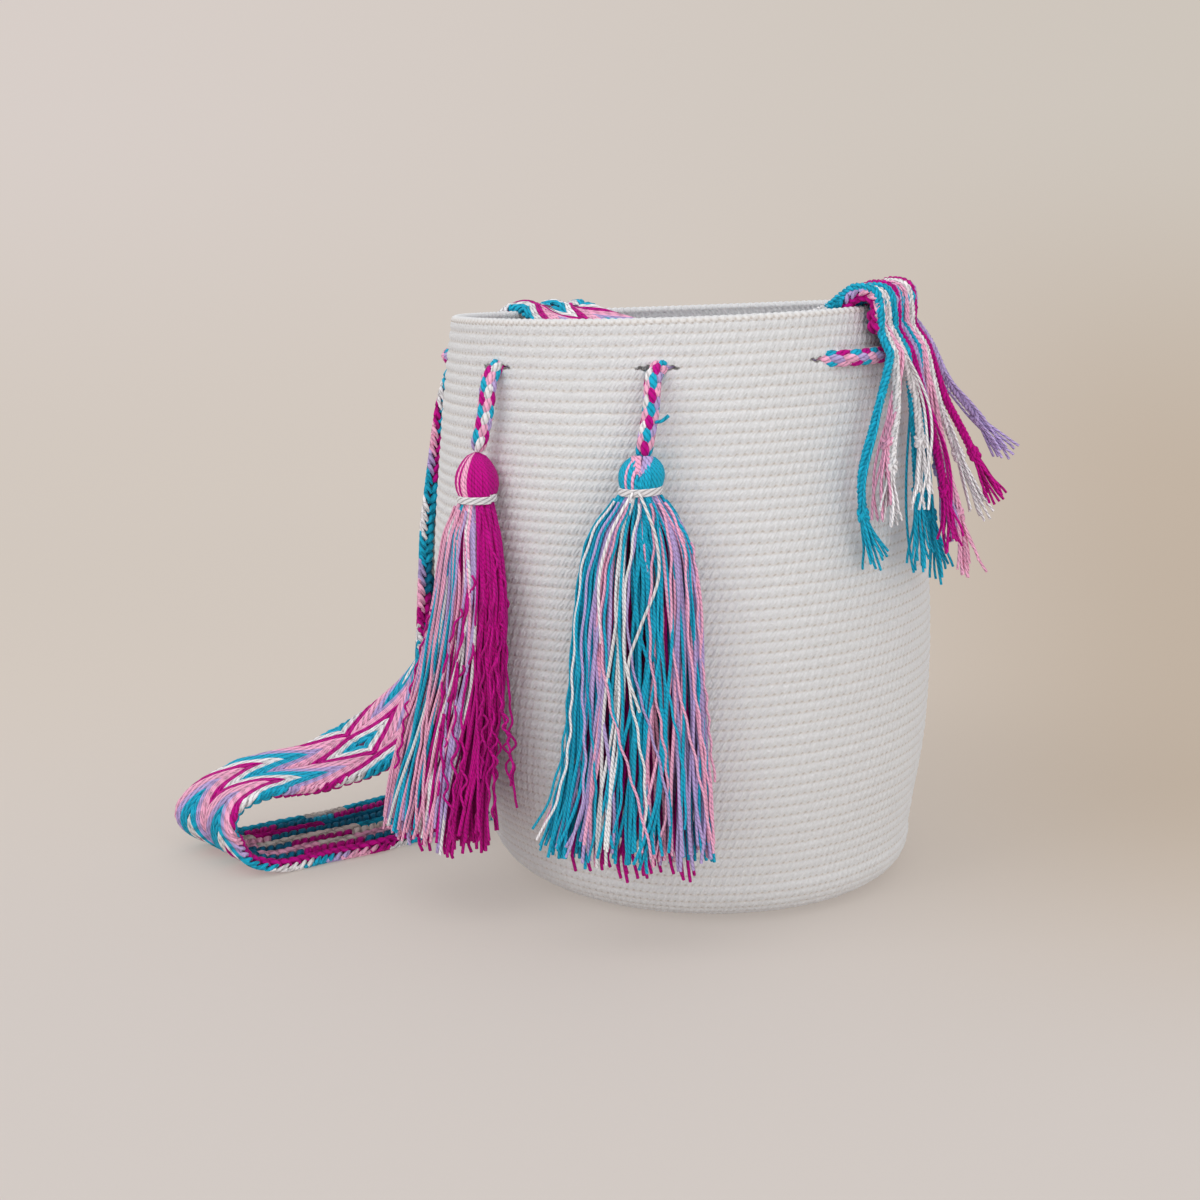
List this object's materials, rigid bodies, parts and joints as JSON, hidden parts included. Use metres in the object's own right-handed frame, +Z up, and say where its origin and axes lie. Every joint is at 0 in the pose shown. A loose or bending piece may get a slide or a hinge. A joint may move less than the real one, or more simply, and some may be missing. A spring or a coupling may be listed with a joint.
{
  "type": "crocheted bucket bag",
  "caption": "Soft crocheted bucket bag with a laced drawstring, hanging yarn tassels and a wide plaited shoulder strap that ends in knotted fringes.",
  "frame": {"origin": "centre of the bag's flat underside, where it stands", "axes": "+Z up, -Y towards the side where the tassels hang, +X to the right seen from that side"},
  "size_m": [0.3731, 0.2635, 0.2804],
  "materials": {
    "crochet_cotton": "matt crochet, fine ridged rows",
    "braided_cord": "matt braid of teal, pink, magenta, lavender and white yarns",
    "plaited_strap_yarn": "matt plait of teal, pink, magenta, lavender and white yarns in nested chevrons",
    "magenta_yarn": "matt yarn",
    "teal_yarn": "matt yarn",
    "pink_yarn": "matt yarn",
    "white_yarn": "matt yarn",
    "lavender_yarn": "matt yarn"
  },
  "bodies": {
    "root": {"bag_body": "crochet_cotton", "drawstring": "braided_cord", "tassel_left": "magenta_yarn", "tassel_left_tie": "white_yarn", "tassel_right": "teal_yarn", "tassel_right_tie": "white_yarn", "strap": "plaited_strap_yarn", "fringe_right_01": "teal_yarn", "fringe_right_02": "white_yarn", "fringe_right_03": "pink_yarn", "fringe_right_04": "white_yarn", "fringe_right_05": "teal_yarn", "fringe_right_06": "magenta_yarn", "fringe_right_07": "lavender_yarn", "fringe_right_08": "teal_yarn", "fringe_right_09": "pink_yarn", "fringe_right_10": "white_yarn", "fringe_right_11": "magenta_yarn", "fringe_right_12": "lavender_yarn", "fringe_left_01": "teal_yarn", "fringe_left_02": "white_yarn", "fringe_left_03": "pink_yarn", "fringe_left_04": "white_yarn", "fringe_left_05": "teal_yarn", "fringe_left_06": "magenta_yarn", "fringe_left_07": "lavender_yarn", "fringe_left_08": "teal_yarn", "fringe_left_09": "pink_yarn", "fringe_left_10": "white_yarn", "fringe_left_11": "magenta_yarn", "fringe_left_12": "lavender_yarn"}
  },
  "joints": []
}
